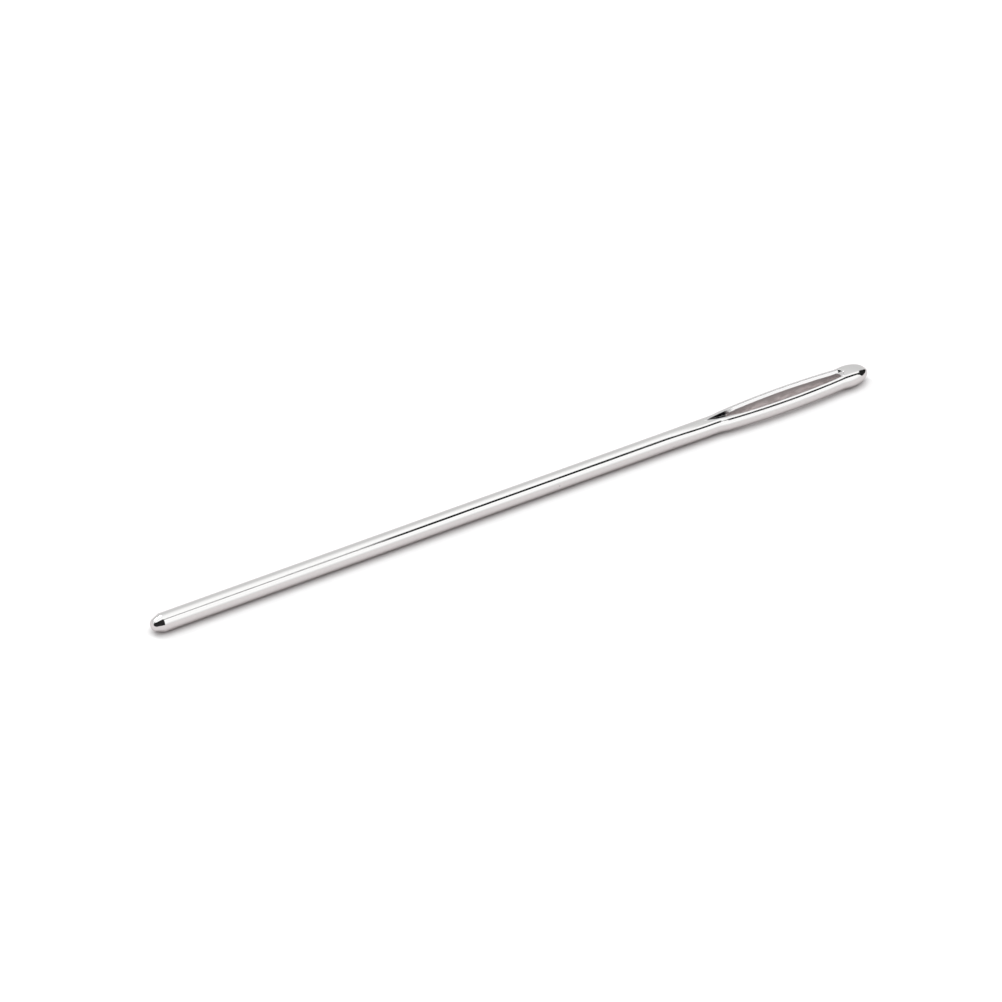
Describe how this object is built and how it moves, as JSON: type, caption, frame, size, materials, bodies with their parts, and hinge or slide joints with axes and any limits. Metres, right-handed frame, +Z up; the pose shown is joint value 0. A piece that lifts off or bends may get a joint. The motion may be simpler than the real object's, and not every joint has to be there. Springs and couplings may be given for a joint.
{
  "type": "yarn needle",
  "caption": "Large-eyed blunt needle of polished steel wire for sewing and darning with yarn.",
  "frame": {"origin": "under the middle of the needle, on the surface that its round shank lies on", "axes": "+X along the needle from its point to its head, +Z up through the eye, which lies flat"},
  "size_m": [0.07, 0.0026, 0.0016],
  "materials": {
    "polished_steel": "nickel-plated steel, polished along its length"
  },
  "bodies": {
    "root": {"shank": "polished_steel", "eye": "polished_steel"}
  },
  "joints": []
}
